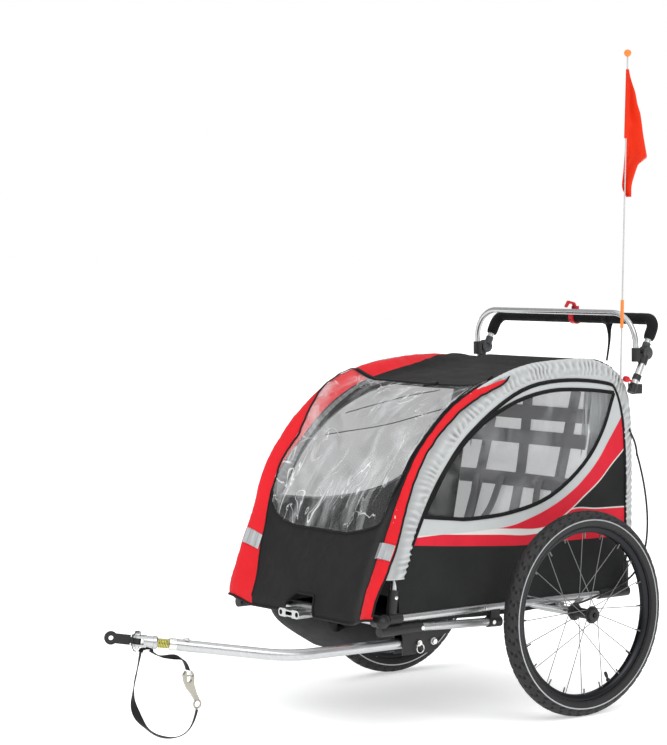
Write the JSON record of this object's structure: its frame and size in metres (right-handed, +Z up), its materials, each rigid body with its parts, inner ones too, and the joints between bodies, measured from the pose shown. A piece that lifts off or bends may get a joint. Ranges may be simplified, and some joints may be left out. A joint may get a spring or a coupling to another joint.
{
  "type": "child bicycle trailer",
  "caption": "Two-wheeled child trailer for a bicycle: folding tube frame with a fabric cabin and clear windows, sprung hitch on a folding side tow arm, push handle and safety flag.",
  "frame": {"origin": "middle of the footprint, on the ground under the tyres, without the free safety strap", "axes": "+Z up, -Y the direction of travel, +X the trailer's left, where the tow arm is"},
  "size_m": [0.821, 1.5066, 1.626],
  "materials": {
    "frame_aluminium": "satin clear-coated tube",
    "black_moulding": "fine-grained black nylon",
    "gear_grey": "grey nylon with ribs",
    "steel_zinc": "bright zinc plate",
    "spoke_steel": "drawn stainless wire",
    "black_steel": "black powder coat",
    "spring_yellow": "yellow-green zinc passivate",
    "rim_black": "black anodised rim",
    "tyre_rubber": "black tyre with a reflective line",
    "black_fabric": "black coated polyester weave",
    "cover_fabric": "red and black coated polyester",
    "side_fabric": "printed polyester in black, red and grey",
    "sleeve_fabric": "silver-grey coated polyester, gathered",
    "seat_fabric": "grey polyester over thin foam",
    "clear_window": "clear soft vinyl",
    "foam_grip": "closed-cell foam",
    "red_moulding": "red moulded plastic",
    "flag_orange": "thin orange ripstop",
    "pole_white": "glass-fibre rod",
    "cable_black": "black cable sheath"
  },
  "bodies": {
    "chassis": {"floor_frame": "frame_aluminium", "front_crossbar": "frame_aluminium", "front_corners": "black_moulding", "tube_end_clamps": "black_moulding", "stub_axles": "steel_zinc", "tow_receiver": "black_steel", "receiver_bolt": "steel_zinc", "front_wheel_receiver": "frame_aluminium", "floor_panel": "black_fabric", "footwell": "black_fabric", "front_cover": "cover_fabric", "front_window": "clear_window", "roof_panel": "black_fabric", "back_panel": "black_fabric", "seat": "seat_fabric", "harness": "black_fabric", "brake_cable": "cable_black"},
    "left_wheel": {"left_tyre": "tyre_rubber", "left_rim": "rim_black", "left_hub": "black_moulding", "left_spokes": "spoke_steel"},
    "right_wheel": {"right_tyre": "tyre_rubber", "right_rim": "rim_black", "right_hub": "black_moulding", "right_spokes": "spoke_steel"},
    "left_button": {"left_axle_button": "steel_zinc"},
    "right_button": {"right_axle_button": "steel_zinc"},
    "left_side": {"left_hoop": "frame_aluminium", "left_hoop_sleeve": "sleeve_fabric", "left_front_tee": "black_moulding", "left_rear_corner": "black_moulding", "left_side_panel": "side_fabric", "left_side_window": "clear_window"},
    "right_side": {"right_hoop": "frame_aluminium", "right_hoop_sleeve": "sleeve_fabric", "right_front_tee": "black_moulding", "right_rear_corner": "black_moulding", "right_side_panel": "side_fabric", "right_side_window": "clear_window"},
    "rear_bar": {"roll_bar": "frame_aluminium", "bar_posts": "frame_aluminium", "bar_fittings": "black_moulding", "bar_pins": "red_moulding"},
    "handle": {"handle_tube": "frame_aluminium", "handle_foam": "foam_grip", "handle_joints": "gear_grey", "brake_clamp": "red_moulding"},
    "brake_lever": {"brake_lever": "red_moulding"},
    "flag": {"flag_pole": "pole_white", "flag_pennant": "flag_orange"},
    "tow_arm": {"tow_tube": "frame_aluminium", "hitch_spring": "spring_yellow"},
    "lock_pin": {"tow_lock_pin": "steel_zinc"},
    "coupler": {"coupler": "frame_aluminium", "hitch_pin": "steel_zinc", "strap_loop": "black_fabric", "strap_short": "black_fabric", "snap_hook": "steel_zinc"},
    "hitch_eye": {"hitch_eye": "black_steel"},
    "snap_gate": {"snap_gate": "steel_zinc"}
  },
  "joints": [
    {"name": "left_wheel_spin", "type": "hinge", "parent": "chassis", "child": "left_wheel", "pos_m": [0.3675, 0.42631, 0.25], "axis": [1, 0, 0], "continuous": true},
    {"name": "right_wheel_spin", "type": "hinge", "parent": "chassis", "child": "right_wheel", "pos_m": [-0.3675, 0.42631, 0.25], "axis": [1, 0, 0], "continuous": true},
    {"name": "left_axle_release", "type": "slide", "parent": "chassis", "child": "left_button", "axis": [-1, 0, 0], "range_m": [0, 0.003], "stiffness_N_per_m": 400},
    {"name": "right_axle_release", "type": "slide", "parent": "chassis", "child": "right_button", "axis": [1, 0, 0], "range_m": [0, 0.003], "stiffness_N_per_m": 400},
    {"name": "side_fold", "type": "hinge", "parent": "chassis", "child": "right_side", "pos_m": [-0.285, 0.42631, 0.276], "axis": [0, 1, 0], "range_deg": [0, 86], "deforming": ["roof_panel", "front_cover", "front_window", "back_panel", "seat", "harness", "brake_cable", "footwell", "right_hoop_sleeve", "right_side_panel", "right_side_window"]},
    {"name": "left_side_fold", "type": "hinge", "parent": "chassis", "child": "left_side", "pos_m": [0.285, 0.42631, 0.276], "axis": [0, -1, 0], "range_deg": [0, 70], "deforming": ["left_hoop_sleeve", "left_side_panel", "left_side_window"]},
    {"name": "rear_bar_drop", "type": "slide", "parent": "chassis", "child": "rear_bar", "axis": [0, 0, -1], "range_m": [0, 0.4]},
    {"name": "handle_angle", "type": "hinge", "parent": "rear_bar", "child": "handle", "pos_m": [0.2985, 0.69431, 0.873], "axis": [-1, 0, 0], "range_deg": [-15, 75]},
    {"name": "brake_lever_swing", "type": "hinge", "parent": "handle", "child": "brake_lever", "pos_m": [0.006, 0.73531, 0.981], "axis": [-1, 0, 0], "range_deg": [0, 60]},
    {"name": "flag_lift", "type": "slide", "parent": "rear_bar", "child": "flag", "axis": [0, 0.021, 0.9998], "range_m": [0, 0.12]},
    {"name": "tow_arm_fold", "type": "hinge", "parent": "chassis", "child": "tow_arm", "pos_m": [0.262, 0.02531, 0.212], "axis": [1, 0, 0], "range_deg": [0, 172], "deforming": ["strap_loop", "strap_short"]},
    {"name": "lock_pin_pull", "type": "slide", "parent": "tow_arm", "child": "lock_pin", "axis": [1, 0, 0], "range_m": [0, 0.042]},
    {"name": "hitch_flex", "type": "hinge", "parent": "tow_arm", "child": "coupler", "pos_m": [0.13909, -0.63594, 0.25601], "axis": [-0.9023, 0.4311, 0], "range_deg": [-15, 15], "stiffness_Nm_per_rad": 60, "deforming": ["hitch_spring"]},
    {"name": "hitch_yaw", "type": "hinge", "parent": "coupler", "child": "hitch_eye", "pos_m": [0.11476, -0.68687, 0.26394], "axis": [-0.0599, -0.1254, -0.9903], "range_deg": [-70, 70]},
    {"name": "snap_gate_open", "type": "hinge", "parent": "coupler", "child": "snap_gate", "pos_m": [0.118, -0.54469, 0.171], "axis": [1, 0, 0], "range_deg": [0, 40], "stiffness_Nm_per_rad": 0.05}
  ],
  "couplings": [
    {"joint": "left_side_fold", "follows": "side_fold", "ratio": 0.8},
    {"joint": "rear_bar_drop", "follows": "side_fold", "m_per_rad": 0.26516}
  ]
}
